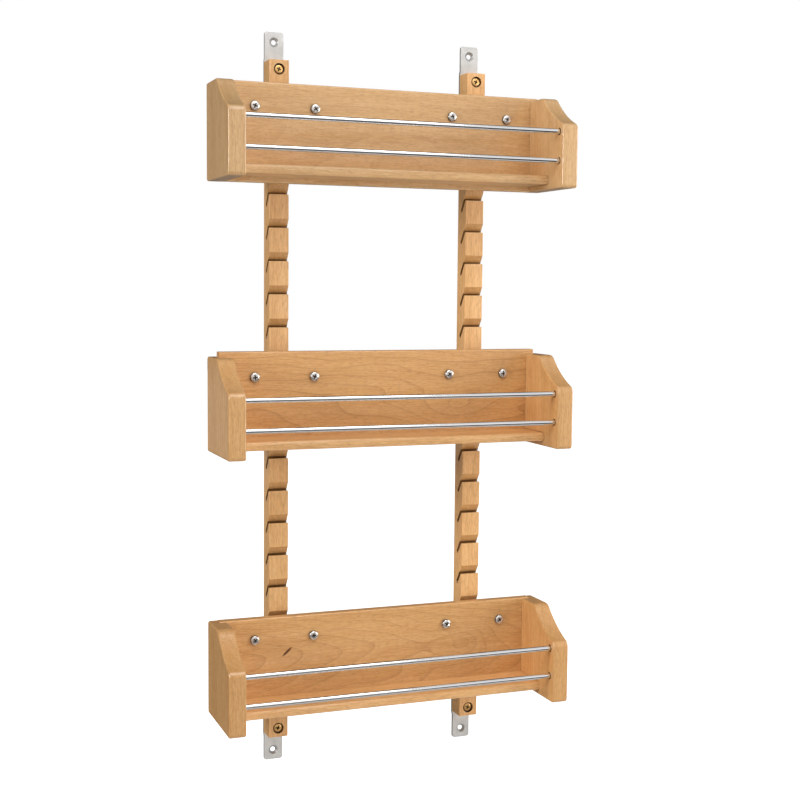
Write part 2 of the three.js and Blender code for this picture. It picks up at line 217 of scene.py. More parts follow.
def wood_finish(
    name, centre, grain, pith, ring_gap, tone=1.0, warmth=0.0, figured=0.26, swirl=None, mark=None
):
    """Honey-coloured beech under clear satin varnish. The board is cut out of a trunk whose
    pith runs past its centre at `pith`: (across, across, tilt, tilt), so its figure is its
    own. `tone` lightens it and `warmth` reddens it. `figured` is how dark the rings are;
    `swirl` is a bump in them: (along, across, half length, half width, height); `mark` is a
    bark streak: (along, across, half length, half width, tilt)."""
    material, tree, shader = new_finish(name)
    turn = Euler((0, math.radians(90), 0) if grain == "Z" else (0, 0, 0))
    coords = add_node(tree, "ShaderNodeTexCoord").outputs
    board = add_node(
        tree,
        "ShaderNodeMapping",
        {
            "Vector": coords["Object"],
            "Location": -(turn.to_matrix() @ Vector(centre)),
            "Rotation": turn,
        },
    ).outputs[0]
    trunk = add_node(
        tree,
        "ShaderNodeMapping",
        {"Vector": board, "Location": (0, pith[0], pith[1]), "Rotation": (0, pith[2], pith[3])},
    ).outputs[0]

    def noise(kind):
        scale, detail, roughness = WOOD_NOISE[kind]
        inputs = {
            "Vector": stretched(tree, board, scale),
            "Scale": 1.0,
            "Detail": detail,
            "Roughness": roughness,
        }
        return add_node(tree, "ShaderNodeTexNoise", inputs).outputs["Fac"]

    across = stretched(tree, trunk, (0, 1, 1))
    radius = add_node(
        tree, "ShaderNodeVectorMath", {0: across}, operation="LENGTH"
    ).outputs["Value"]
    wander = calculate(tree, "MULTIPLY", noise("wander"), 5 * ring_gap)
    radius = calculate(tree, "ADD", radius, wander)
    if swirl:
        radius = calculate(tree, "ADD", radius, swirl_bump(tree, board, swirl))
    ring = calculate(tree, "FRACT", calculate(tree, "DIVIDE", radius, ring_gap))
    late_wood = calculate(tree, "POWER", ring, RING_SHARPNESS)

    fibres = remap(tree, noise("fibres"), 0.36, 0.64)
    mottle = remap(tree, noise("mottle"), 0.2, 0.8, 0.36, 0.64)
    flecks = remap(tree, noise("flecks"), 0.50, 0.70)
    figure = blend(tree, noise("streaks"), ring, SHARES["ring"])
    figure = blend(tree, figure, fibres, SHARES["fibres"])
    figure = blend(tree, figure, mottle, SHARES["mottle"])

    def shade(r, g, b):
        return (r * tone * (1 + warmth), g * tone, b * tone * (1 - 1.6 * warmth))

    color = ramp(tree, figure, [(where, shade(*wood)) for where, wood in PALE_TO_DEEP])
    line = calculate(tree, "MULTIPLY", late_wood, figured)
    color = tint(tree, line, color, (*shade(*LATE_WOOD), 1))
    fleck = calculate(tree, "MULTIPLY", flecks, SHARES["fleck"])
    color = tint(tree, fleck, color, (*shade(*RAY_FLECK), 1))
    if mark:
        color = tint(tree, bark_streak(tree, board, mark), color, BARK)
    along_grain = (0, 0, 1) if grain == "Z" else (1, 0, 0)
    facing = add_node(
        tree,
        "ShaderNodeVectorMath",
        {0: coords["Normal"], 1: along_grain},
        operation="DOT_PRODUCT",
    ).outputs["Value"]
    endwise = calculate(tree, "ABSOLUTE", facing)
    end_grain = remap(tree, endwise, 0.5, 1.0, 0.0, SHARES["end_grain"])
    color = tint(tree, end_grain, color, (*shade(*END_GRAIN), 1))
    tree.links.new(color, shader.inputs["Base Color"])
    tree.links.new(remap(tree, fibres, 0.0, 1.0, 0.36, 0.50), shader.inputs["Roughness"])
    for socket, value in VARNISH.items():
        shader.inputs[socket].default_value = value
    height = blend(tree, fibres, flecks, 0.3)
    bump = add_node(
        tree,
        "ShaderNodeBump",
        {"Height": height, "Strength": 0.10, "Distance": 0.1 * MM},
    )
    tree.links.new(bump.outputs[0], shader.inputs["Normal"])
    return material


def arc_points(centre, radius, start, end, steps):
    """Points on an arc of a (y, z) outline, both ends included."""
    angles = [start + (end - start) * i / steps for i in range(steps + 1)]
    return [
        (centre[0] + radius * math.cos(a), centre[1] + radius * math.sin(a)) for a in angles
    ]


def prism(outline, low, high, axis="X"):
    """Extrude an outline of two coordinates along the axis that it leaves out."""
    order = {"X": lambda a, b, t: (t, a, b), "Y": lambda a, b, t: (a, t, b)}[axis]
    mesh = bmesh.new()
    face = mesh.faces.new([mesh.verts.new(order(a, b, low)) for a, b in outline])
    grown = bmesh.ops.extrude_face_region(mesh, geom=[face], use_keep_orig=True)
    moved = [v for v in grown["geom"] if isinstance(v, bmesh.types.BMVert)]
    bmesh.ops.translate(mesh, vec=order(0, 0, high - low), verts=moved)
    bmesh.ops.recalc_face_normals(mesh, faces=mesh.faces)
    return mesh


def round_edges(mesh, edges, radius, steps):
    """Round edges over, and weld the slivers that tight corners leave."""
    bmesh.ops.bevel(
        mesh,
        geom=edges,
        offset=radius,
        offset_type="OFFSET",
        segments=steps,
        profile=0.5,
        affect="EDGES",
        material=-1,
        clamp_overlap=True,
    )
    bmesh.ops.remove_doubles(mesh, verts=mesh.verts, dist=WELD)


def rim_edges(mesh, low, high, axis=0):
    """The edges of a prism's two end outlines."""
    ends = (low, high)
    return [
        e
        for e in mesh.edges
        if any(all(abs(v.co[axis] - end) < TINY for v in e.verts) for end in ends)
    ]


def to_object(name, mesh):
    """Turn a bmesh into an object at the origin."""
    data = bpy.data.meshes.new(name)
    mesh.to_mesh(data)
    mesh.free()
    made = bpy.data.objects.new(name, data)
    bpy.context.scene.collection.objects.link(made)
    return made


def round_bar(radius, low, high, axis="Y", centre=(0, 0), steps=48):
    """A round bar from low to high along an axis, used whole or as a drill."""
    mesh = bmesh.new()
    bmesh.ops.create_cone(
        mesh,
        cap_ends=True,
        segments=steps,
        radius1=radius,
        radius2=radius,
        depth=high - low,
    )
    about, degrees = {"X": ("Y", 90), "Y": ("X", -90)}[axis]
    turn = Matrix.Rotation(math.radians(degrees), 3, about)
    bmesh.ops.rotate(mesh, matrix=turn, verts=mesh.verts)
    middle = (low + high) / 2
    place = {"X": (middle, *centre), "Y": (centre[0], middle, centre[1])}[axis]
    bmesh.ops.translate(mesh, vec=place, verts=mesh.verts)
    return mesh


def drill(radius, low, high, axis_x, axis_z):
    """A drill along Y that runs right through the box of a node."""
    return round_bar(radius, low.y - PAST, high.y + PAST, "Y", (axis_x, axis_z))


def combine(piece, others, operation="DIFFERENCE"):
    """Cut other bmeshes out of a piece, or join them to it, and keep the result."""
    helpers = [to_object("helper", other) for other in others]
    for helper in helpers:
        change = piece.modifiers.new("Cut", "BOOLEAN")
        change.operation = operation
        change.solver = "EXACT"
        change.object = helper
    bpy.context.view_layer.update()
    evaluated = piece.evaluated_get(bpy.context.evaluated_depsgraph_get())
    result = bpy.data.meshes.new_from_object(evaluated)
    welded = bmesh.new()
    welded.from_mesh(result)
    bmesh.ops.remove_doubles(welded, verts=welded.verts, dist=TINY)
    bmesh.ops.dissolve_degenerate(welded, dist=TINY, edges=welded.edges)
    welded.to_mesh(result)
    welded.free()
    piece.modifiers.clear()
    piece.data = result
    for helper in helpers:
        bpy.data.objects.remove(helper)
    return piece


def finish_piece(piece, body, node, material, crease=CREASE):
    """Shade a made piece, give it its finish and let it stand for its CAD node."""
    piece.data.materials.clear()
    piece.data.materials.append(material)
    piece.data.polygons.foreach_set("use_smooth", [True] * len(piece.data.polygons))
    piece.data.set_sharp_from_angle(angle=math.radians(crease))
    normals = piece.modifiers.new("Even normals", "WEIGHTED_NORMAL")
    normals.keep_sharp = True
    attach(piece, body)
    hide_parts(node)
    return piece


ACROSS_KERF = Vector((math.cos(KERF_ANGLE), math.sin(KERF_ANGLE)))
DOWN_KERF = Vector((math.sin(KERF_ANGLE), -math.cos(KERF_ANGLE)))
LEDGE = KERF_MOUTH * math.tan(KERF_ANGLE) - KERF_WIDTH / math.cos(KERF_ANGLE)


def standard_outline(rear, front, foot, head):
    """The side view of a standard as (y, z) points, kerfs included."""
    floor = Vector((0, KERF_MOUTH)) + DOWN_KERF * KERF_WALL - ACROSS_KERF * KERF_WIDTH / 2
    outline = [(rear, foot), (rear, head), (front, head)]
    for i in range(NOTCH_COUNT):
        tooth = head - FIRST_TOOTH_DROP - i * NOTCH_PITCH
        centre = (front + floor.x, tooth + floor.y)
        outline.append((front, tooth + KERF_MOUTH))
        lip = Vector((front + LEDGE, tooth))
        outline.append(tuple(lip + ACROSS_KERF * KERF_WIDTH))
        outline += arc_points(
            centre, KERF_WIDTH / 2, KERF_ANGLE, KERF_ANGLE - math.pi, 8
        )
        outline += [tuple(lip), (front, tooth)]
    return outline + [(front, foot)]


def shade_slot(face, low, high):
    """Which material slot a face of a standard takes: 0 planed, 1 painted shade in a counterbore
    or deep in a kerf, 2 painted shade on a kerf's open slope, which faces down and forward."""
    x, y, z = face.center
    off_axis = math.hypot(x - (low.x + high.x) / 2, min(z - low.z, high.z - z) - SCREW_EDGE)
    if y > low.y + SHADE_DEPTH and off_axis < COUNTERBORE["radius"] + WELD:
        return 1
    i = round((high.z - FIRST_TOOTH_DROP - z) / NOTCH_PITCH - KERF_MIDDLE)
    lip = Vector((low.y + LEDGE, high.z - FIRST_TOOTH_DROP - i * NOTCH_PITCH))
    into = Vector((y, z)) - lip
    across = into.dot(ACROSS_KERF)
    if into.dot(DOWN_KERF) > 0 and -STANDARD_ARRIS < across < KERF_WIDTH + STANDARD_ARRIS:
        return 1
    return 2 if max(face.normal.y, face.normal.z) < SLOPE_FACING else 0


for side, hand in HANDS:
    low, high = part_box(f"{side}_standard")
    mesh = prism(standard_outline(high.y, low.y, low.z, high.z), low.x, high.x)
    round_edges(mesh, rim_edges(mesh, low.x, high.x), STANDARD_ARRIS, 3)
    middle = (low.x + high.x) / 2
    drills = []
    for height in (low.z + SCREW_EDGE, high.z - SCREW_EDGE):
        drills.append(drill(BRACKET_SCREW_BORE, low, high, middle, height))
        reach = (low.y - PAST, low.y + COUNTERBORE["depth"])
        drills.append(round_bar(COUNTERBORE["radius"], *reach, "Y", (middle, height)))
    post = combine(to_object(f"{side}_standard_wood", mesh), drills)
    pith = (0.05 + 0.02 * hand, 0.035, 0.004 * hand, 0.006)
    tone = STANDARD_TONES[side]
    cut_from = ((low + high) / 2, "Z", pith, STANDARD_RING_GAP)
    material = wood_finish(f"{side}_standard_beech", *cut_from, tone)
    finish_piece(post, "standards", f"{side}_standard", material, STANDARD_CREASE)
    # Two darker copies of the beech as painted shade: one deep in the kerfs and counterbores, one
    # on the kerfs' downward-facing slopes.
    for cut, (share, warmth) in SHADED_CUT_TONES.items():
        material = wood_finish(f"{side}_standard_{cut}", *cut_from, tone * share, warmth)
        post.data.materials.append(material)
    for face in post.data.polygons:
        face.material_index = shade_slot(face, low, high)


# ---- Strap brackets ----------------------------------------------------------
# Stamped steel straps, bright zinc plated. Each lies behind the end of a standard, steps
# forward just past it, and ends in a tab with a countersunk hole for the screw to the door.

STRAP_THICKNESS = 2.5 * MM
STRAP_REACH = 26.75 * MM
STRAP_LEG = 30 * MM
STRAP_CORNER = 2.5 * MM
JOGGLE = {"start": 0.8 * MM, "length": 3 * MM, "depth": 1.5 * MM}
DOOR_HOLE = {"edge": 9 * MM, "bore": 2.25 * MM, "countersink": 4.3 * MM}
DRILL_REACH = {"front": 2 * MM, "rear": 5 * MM}
STRAP_EDGE_ROUND = 0.3 * MM
TUMBLED_ANGLE = math.radians(50)


def steel_finish(name, color, roughness, grain_scale, metallic=1.0):
    """Plated steel: faint rolling marks and clouding on its faces, and painted shade on its
    edges.
    """
    material, tree, shader = new_finish(name)
    coords = add_node(tree, "ShaderNodeTexCoord").outputs

    def noise(scale, detail):
        place = stretched(tree, coords["Object"], scale)
        inputs = {"Vector": place, "Scale": 1.0, "Detail": detail}
        return add_node(tree, "ShaderNodeTexNoise", inputs).outputs["Fac"]

    marks = noise(grain_scale, 3)
    cloud = noise((140, 140, 140), 3)
    base = ramp(
        tree,
        cloud,
        [(0.3, [c * 0.90 for c in color]), (0.7, [min(1, c * 1.06) for c in color])],
    )
    frontal = add_node(tree, "ShaderNodeSeparateXYZ", {0: coords["Normal"]}).outputs["Y"]
    # Painted shade: faces that turn away from the front and the back, the plate's edges, are
    # darkened towards near black.
    edge_shade = remap(tree, calculate(tree, "ABSOLUTE", frontal), 0.60, 0.84, 0.8, 0.0)
    base = tint(tree, edge_shade, base, (0.10, 0.095, 0.09, 1))
    tree.links.new(base, shader.inputs["Base Color"])
    shader.inputs["Metallic"].default_value = metallic
    rough = remap(tree, marks, 0.3, 0.7, roughness * 0.8, roughness * 1.25)
    tree.links.new(rough, shader.inputs["Roughness"])
    bump = add_node(
        tree, "ShaderNodeBump", {"Height": marks, "Strength": 0.08, "Distance": 0.05 * MM}
    )
    tree.links.new(bump.outputs[0], shader.inputs["Normal"])
    return material


def bent_strip(path, thickness):
    """Both sides of a flat strip bent along a path of (y, z) points, mitred at its bends."""
    near, far = [], []
    points = [Vector(p) for p in path]
    for i, point in enumerate(points):
        into, out = max(i, 1), min(i + 1, len(points) - 1)
        before = (points[into] - points[into - 1]).normalized()
        after = (points[out] - points[out - 1]).normalized()
        mitre = Vector((-before.y - after.y, before.x + after.x))
        mitre *= thickness / mitre.length_squared
        near.append(tuple(point + mitre))
        far.insert(0, tuple(point - mitre))
    return near + far


def rounded_rectangle(low, high, radius, steps=8):
    """A rectangle of (a, b) points with rounded corners."""
    centres = [
        (high[0] - radius, high[1] - radius, 0),
        (low[0] + radius, high[1] - radius, 1),
        (low[0] + radius, low[1] + radius, 2),
        (high[0] - radius, low[1] + radius, 3),
    ]
    outline = []
    for a, b, quarter in centres:
        start = quarter * math.pi / 2
        outline += arc_points((a, b), radius, start, start + math.pi / 2, steps)
    return outline


def turned(profile, place, steps=48):
    """Spin a profile of (radius, along Y) points about the Y axis, then put it in place."""
    mesh = bmesh.new()
    verts = [mesh.verts.new((r, y, 0)) for r, y in profile]
    edges = [mesh.edges.new(pair) for pair in zip(verts, verts[1:])]
    bmesh.ops.spin(
        mesh,
        geom=verts + edges,
        cent=(0, 0, 0),
        axis=(0, 1, 0),
        angle=math.tau,
        steps=steps,
        use_merge=True,
    )
    bmesh.ops.remove_doubles(mesh, verts=mesh.verts, dist=TINY)
    bmesh.ops.recalc_face_normals(mesh, faces=mesh.faces)
    bmesh.ops.translate(mesh, vec=place, verts=mesh.verts)
    return mesh


def countersink_drill(place):
    """A drill along Y whose cone opens towards the front, its mouth at `place`."""
    wide, narrow = DOOR_HOLE["countersink"], DOOR_HOLE["bore"]
    front, rear = -DRILL_REACH["front"], DRILL_REACH["rear"]
    mouth = [(0, front), (wide, front), (wide, 0)]
    bore = [(narrow, wide - narrow), (narrow, rear), (0, rear)]
    return turned(mouth + bore, place)


def tumble(piece, radius, steps):
    """Take the sharpness off every edge of a stamped piece."""
    softened = piece.modifiers.new("Tumbled edges", "BEVEL")
    softened.width = radius
    softened.segments = steps
    softened.limit_method = "ANGLE"
    softened.angle_limit = TUMBLED_ANGLE


ZINC = (0.64, 0.63, 0.61)
strap_zinc = steel_finish("strap_zinc", ZINC, 0.42, (1400, 1400, 90), 0.2)
for side, _ in HANDS:
    for level, up in (("upper", 1), ("lower", -1)):
        node = f"{level}_{side}_bracket"
        low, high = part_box(node)
        tip = high.z if up > 0 else low.z
        end = tip - up * STRAP_REACH
        leg_y = high.y - STRAP_THICKNESS / 2
        tab_y = leg_y - JOGGLE["depth"]
        path = [
            (leg_y, end - up * STRAP_LEG),
            (leg_y, end + up * JOGGLE["start"]),
            (tab_y, end + up * (JOGGLE["start"] + JOGGLE["length"])),
            (tab_y, tip),
        ]
        strip = bent_strip(path, STRAP_THICKNESS)
        strap = to_object(f"{node}_strap", prism(strip, low.x, high.x))
        face = rounded_rectangle((low.x, low.z), (high.x, high.z), STRAP_CORNER)
        combine(strap, [prism(face, low.y - PAST, high.y + PAST, "Y")], "INTERSECT")
        middle = (low.x + high.x) / 2
        mouth = (middle, low.y, tip - up * DOOR_HOLE["edge"])
        bore = drill(BRACKET_SCREW_BORE, low, high, middle, end - up * SCREW_EDGE)
        combine(strap, [countersink_drill(mouth), bore])
        tumble(strap, STRAP_EDGE_ROUND, 3)
        finish_piece(strap, "standards", node, strap_zinc)


# ---- Screws ------------------------------------------------------------------
# Cross-recess wood screws, turned and then punched. The brass-plated ones sit in the standards'
# counterbores and go through into the straps; the nickel pan heads hold the trays' hangers.

BRACKET_SCREW = {"head": 3.9 * MM, "height": 2.2 * MM, "rim": 0.7 * MM, "shank": 1.75 * MM}
RECESS = {"reach": 0.74, "width": 0.34, "depth": 1.7 * MM, "over": 1 * MM}
THREAD = {
    "pitch": 1.3 * MM,
    "root": 0.76,
    "neck": 3 * MM,
    "runout": 0.3 * MM,
    "clear": 2 * MM,
    "point": 1.6 * MM,
}
DOME_STEPS = 10
DOME_FLATNESS = 0.55
HEAD_BREAK = 0.12 * MM
RECESS_TAPER = (0.35, 1, 0.7)
SCREW_CREASE = 40
FIRST_TURN = 20
# Painted shade for the screws' cross recesses and the foot of their heads.
RECESS_SHADE = (0.035, 0.018, 0.01, 1)


def screw_profile(size, length):
    """Half a screw as (radius, along) points: domed head, neck, threads and point."""
    head, height, rim = size["head"], size["height"], size["rim"]
    shank = size["shank"]
    dome = []
    for i in range(DOME_STEPS + 1):
        angle = math.pi / 2 * i / DOME_STEPS
        across = head * math.sin(angle) ** DOME_FLATNESS
        dome.append((across, -rim - (height - rim) * math.cos(angle) ** DOME_FLATNESS))
    profile = dome + [(head, -HEAD_BREAK), (head - HEAD_BREAK, 0), (shank, 0)]
    root = shank * THREAD["root"]
    profile.append((shank, THREAD["neck"] - THREAD["runout"]))
    turns = int((length - THREAD["neck"] - THREAD["clear"]) / THREAD["pitch"])
    for i in range(turns):
        start = THREAD["neck"] + i * THREAD["pitch"]
        valley, crest = start + THREAD["pitch"] * 0.55, start + THREAD["pitch"] * 0.8
        profile += [(root, start), (root, valley), (shank, crest)]
    return profile + [(root, length - THREAD["point"]), (0, length)]


def block(low, high):
    """A plain rectangular cutter between two corners."""
    mesh = bmesh.new()
    bmesh.ops.create_cube(mesh, size=1)
    size = Vector(high) - Vector(low)
    bmesh.ops.scale(mesh, vec=size, verts=mesh.verts)
    bmesh.ops.translate(mesh, vec=(Vector(low) + Vector(high)) / 2, verts=mesh.verts)
    return mesh


def cross_punch(size, turn):
    """A tapered cross that leaves the recess in a head."""
    blades = []
    reach, half = size["head"] * RECESS["reach"], size["head"] * RECESS["width"] / 2
    top = -size["height"] - RECESS["over"]
    floor = -size["height"] + RECESS["depth"]
    for quarter in (0, 90):
        mesh = block((-reach, top, -half), (reach, floor, half))
        deep = [v for v in mesh.verts if v.co.y > floor - TINY]
        bmesh.ops.scale(mesh, vec=RECESS_TAPER, verts=deep)
        angle = Matrix.Rotation(math.radians(turn + quarter), 3, "Y")
        bmesh.ops.rotate(mesh, matrix=angle, verts=mesh.verts)
        blades.append(mesh)
    return blades


def make_screw(name, node, size, turn):
    """A screw that fills the box of its node, its head to the front."""
    low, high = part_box(node)
    middle = (low + high) / 2
    seat = low.y + size["height"]
    screw = to_object(name, turned(screw_profile(size, high.y - seat), (0, 0, 0)))
    combine(screw, cross_punch(size, turn))
    screw.data.transform(Matrix.Translation((middle.x, seat, middle.z)))
    return screw


def plated_finish(name, color, roughness, dark, top, metallic=1.0):
    """Plating with a little clouding, and painted shade low in the recess and round the foot of
    the head;
    `top` is where the heads' tops lie along Y."""
    material, tree, shader = new_finish(name)
    coords = add_node(tree, "ShaderNodeTexCoord").outputs["Object"]
    inputs = {"Vector": coords, "Scale": 900, "Detail": 3}
    cloud = add_node(tree, "ShaderNodeTexNoise", inputs).outputs["Fac"]
    base = ramp(tree, cloud, [(0.3, dark), (0.62, color)])
    depth = add_node(tree, "ShaderNodeSeparateXYZ", {0: coords}).outputs["Y"]
    # Painted shade: the further behind the heads' tops, the darker, in the cross recess and round
    # the foot of the head.
    painted_shade = remap(tree, depth, top + 0.45 * MM, top + 0.95 * MM, 0.0, 0.93)
    base = tint(tree, painted_shade, base, RECESS_SHADE)
    tree.links.new(base, shader.inputs["Base Color"])
    shader.inputs["Metallic"].default_value = metallic
    rough = remap(tree, cloud, 0.3, 0.7, roughness * 1.3, roughness * 0.8)
    tree.links.new(rough, shader.inputs["Roughness"])
    return material


BRASS = (0.93, 0.58, 0.23)
DULL_BRASS = (0.72, 0.42, 0.14)
head_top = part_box("upper_left_bracket_screw")[0].y
screw_brass = plated_finish("screw_brass", BRASS, 0.34, DULL_BRASS, head_top, 0.7)
for side, _ in HANDS:
    for level in ("upper", "lower"):
        node = f"{level}_{side}_bracket_screw"
        screw = make_screw(f"{node}_brass", node, BRACKET_SCREW, FIRST_TURN)
        finish_piece(screw, "standards", node, screw_brass, SCREW_CREASE)


# ---- Tray sides --------------------------------------------------------------
# Upright-grained boards, sawn to a flat top and a hollow slope, all edges rounded over. The
# inner face has a groove for the back panel, a housing for the shelf and two rod sockets.

TRAYS = ("top", "middle", "bottom")
SIDE = {"front_height": 55.7 * MM, "top_depth": 37 * MM, "hollow": 2.5 * MM}
SIDE_FRONT_CORNER = 3.6 * MM
SIDE_REAR_CORNER = 2.6 * MM
SIDE_EDGE_ROUND = 1.6 * MM
GROOVE_DEPTH = 7.5 * MM
HOUSING_DEPTH = 5 * MM
SOCKET = {"room": 0.9 * MM, "depth": 8 * MM}
SEAT_GAP = 0.3 * MM
SHELF_NOSE = 3 * MM
OVERRUN = 2 * MM
SIDE_RING_GAP = 5.2 * MM
SIDE_TONES = {
    "top": {"left": (0.97, -0.07), "right": (1.08, -0.07)},
    "middle": {"left": (0.96, 0.01), "right": (0.94, 0.03)},
    "bottom": {"left": (0.87, 0.05), "right": (0.92, 0.06)},
}


def bow(start, control, end, steps):
    """Points of a smooth curve from start to end that leans towards control."""
    a, b, c = Vector(start), Vector(control), Vector(end)
    places = [i / steps for i in range(steps + 1)]
    return [tuple(a * (1 - t) ** 2 + b * 2 * t * (1 - t) + c * t * t) for t in places]


def side_outline(rear, front, foot, head):
    """The side view of a tray side as (y, z) points."""
    corner, back = SIDE_FRONT_CORNER, SIDE_REAR_CORNER
    knee = Vector((front, foot + SIDE["front_height"]))
    brow = Vector((rear - SIDE["top_depth"], head))
    slope = (brow - knee).normalized()
    start, end = knee + slope * corner, brow - slope * corner
    dip = (start + end) / 2 + Vector((slope.y, -slope.x)) * 2 * SIDE["hollow"]
    outline = bow((front + corner, foot), (front, foot), (front, foot + corner), 8)
    outline += bow((knee.x, knee.y - corner), knee, start, 6)
    outline += bow(start, dip, end, 16)[1:]
    outline += bow(end, brow, (brow.x + corner, brow.y), 6)[1:]
    outline += bow((rear - back, head), (rear, head), (rear, head - back), 6)
    outline += bow((rear, foot + back), (rear, foot), (rear - back, foot), 6)
    return outline


def shelf_outline(low, high, grow=0.0):
    """The side view of a shelf, its front edge nosed, grown all round for its housing."""
    front, rear = low.y - grow, high.y + grow
    foot, top = low.z - grow, high.z + grow
    nose = SHELF_NOSE
    outline = [(rear, foot), (rear, top)]
    outline += bow((front + nose, top), (front, top), (front, top - nose), 6)
    outline += bow((front, foot + nose), (front, foot), (front + nose, foot), 6)
    return outline


for t, tray in enumerate(TRAYS):
    panel_low, panel_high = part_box(f"{tray}_back_panel")
    shelf_low, shelf_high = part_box(f"{tray}_shelf")
    for side, hand in HANDS:
        node = f"{tray}_{side}_side"
        low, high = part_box(node)
        mesh = prism(side_outline(high.y, low.y, low.z, high.z), low.x, high.x)
        round_edges(mesh, rim_edges(mesh, low.x, high.x), SIDE_EDGE_ROUND, 6)
        inner = low.x if hand > 0 else high.x
        reach = sorted((inner, inner + hand * GROOVE_DEPTH))
        reach[0 if hand > 0 else 1] -= hand * OVERRUN
        groove = block(
            (reach[0], panel_low.y - SEAT_GAP, low.z - PAST),
            (reach[1], panel_high.y + SEAT_GAP, high.z + PAST),
        )
        ends = sorted((inner - hand * OVERRUN, inner + hand * HOUSING_DEPTH))
        housing = prism(shelf_outline(shelf_low, shelf_high, SEAT_GAP), *ends)
        cutters = [groove, housing]
        for level in ("upper", "lower"):
            rod_low, rod_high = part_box(f"{tray}_{level}_rod")
            axis = (rod_low + rod_high) / 2
            radius = (rod_high.z - rod_low.z) / 2 + SOCKET["room"]
            ends = sorted((inner - hand * OVERRUN, inner + hand * SOCKET["depth"]))
            cutters.append(round_bar(radius, *ends, "X", (axis.y, axis.z)))
        board = combine(to_object(f"{node}_board", mesh), cutters)
        pith = (0.022 + 0.017 * t, hand * (0.03 + 0.012 * t), 0.03 * hand, 0.02 - 0.02 * t)
        tone, warmth = SIDE_TONES[tray][side]
        cut_from = ((low + high) / 2, "Z", pith, SIDE_RING_GAP)
        material = wood_finish(f"{node}_beech", *cut_from, tone, warmth)
        finish_piece(board, f"{tray}_tray", node, material)


# ---- Tray backs and shelves --------------------------------------------------
# Flat-sawn boards with the grain along the tray. The back is slid into the sides' grooves,
# its long edges eased; the shelf is housed in the sides, its front edge nosed.

BACK_EDGE_ROUND = 1.5 * MM
LONG_EDGE = 100 * MM
BACK_RING_GAP = 6.5 * MM
SHELF_RING_GAP = 5.6 * MM
SHELF_TONE = 1.2
SHELF_WARMTH = {"top": -0.06, "middle": 0.0, "bottom": 0.01}
BACK_FIGURE = {
    "top": {
        "pith": (0.070, 0.012, 0.02, 0.035),
        "tone": 1.05,
        "warmth": -0.05,
        "figured": 0.10,
    },
    "middle": {
        "pith": (0.060, 0.030, 0.03, 0.05),
        "swirl": (0.075, -0.006, 0.11, 0.05, 0.022),
        "tone": 0.94,
        "warmth": 0.06,
        "figured": 0.42,
    },
    "bottom": {
        "pith": (-0.050, 0.004, -0.01, -0.10),
        "swirl": (0.085, 0.004, 0.05, 0.03, -0.012),
        "gap": 4.4 * MM,
        "tone": 0.98,
        "warmth": 0.04,
        "figured": 0.38,
        "mark": (-0.0905, 0.0100, 0.0068, 0.0014, math.radians(42)),
    },
}
PAN_SCREW = {"head": 4.25 * MM, "height": 2.6 * MM, "rim": 0.7 * MM, "shank": 1.95 * MM}
PAN_SCREW_BORE = PAN_SCREW["shank"] + SEAT_GAP


def screw_bores(tray, numbers, low, high):
    """Drills for a tray's numbered screws, through the box of the node they fix."""
    bores = []
    for i in numbers:
        screw_low, screw_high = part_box(f"{tray}_screw_{i}")
        axis = (screw_low + screw_high) / 2
        bores.append(drill(PAN_SCREW_BORE, low, high, axis.x, axis.z))
    return bores


for t, tray in enumerate(TRAYS):
    low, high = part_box(f"{tray}_back_panel")
    corners = [(high.y, low.z), (high.y, high.z), (low.y, high.z), (low.y, low.z)]
    mesh = prism(corners, low.x, high.x)
    long_edges = [e for e in mesh.edges if abs(e.verts[0].co.x - e.verts[1].co.x) > LONG_EDGE]
    round_edges(mesh, long_edges, BACK_EDGE_ROUND, 5)
    bores = screw_bores(tray, (1, 2, 3, 4), low, high)
    panel = combine(to_object(f"{tray}_back_board", mesh), bores)
    own = BACK_FIGURE[tray]
    material = wood_finish(
        f"{tray}_back_beech",
        (low + high) / 2,
        "X",
        own["pith"],
        own.get("gap", BACK_RING_GAP),
        own["tone"],
        own["warmth"],
        own["figured"],
        own.get("swirl"),
        own.get("mark"),
    )
    finish_piece(panel, f"{tray}_tray", f"{tray}_back_panel", material)

    low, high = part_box(f"{tray}_shelf")
    shelf = to_object(f"{tray}_shelf_board", prism(shelf_outline(low, high), low.x, high.x))
    pith = (0.03, 0.03 + 0.01 * t, 0.02, 0.02 - 0.015 * t)
    cut_from = ((low + high) / 2, "X", pith, SHELF_RING_GAP)
    material = wood_finish(f"{tray}_shelf_beech", *cut_from, SHELF_TONE, SHELF_WARMTH[tray])
    finish_piece(shelf, f"{tray}_tray", f"{tray}_shelf", material)


# ---- Guard rods --------------------------------------------------------------
# Drawn steel rods, polished and chrome plated, cut to length with a small chamfer, and
# trapped in the sides' blind sockets.

ROD_CHAMFER = 0.4 * MM


def chrome_finish(name):
    """Bright chrome with the faintest drawing lines and a few soft smudges."""
    material, tree, shader = new_finish(name)
    coords = add_node(tree, "ShaderNodeTexCoord").outputs["Object"]
    inputs = {"Vector": stretched(tree, coords, (12, 60, 60)), "Scale": 1.0, "Detail": 3}
    smudge = add_node(tree, "ShaderNodeTexNoise", inputs).outputs["Fac"]
    base = ramp(tree, smudge, [(0.3, (0.78, 0.79, 0.80)), (0.7, (0.88, 0.88, 0.88))])
    tree.links.new(base, shader.inputs["Base Color"])
    shader.inputs["Metallic"].default_value = 1.0
    tree.links.new(remap(tree, smudge, 0.3, 0.7, 0.04, 0.09), shader.inputs["Roughness"])
    return material


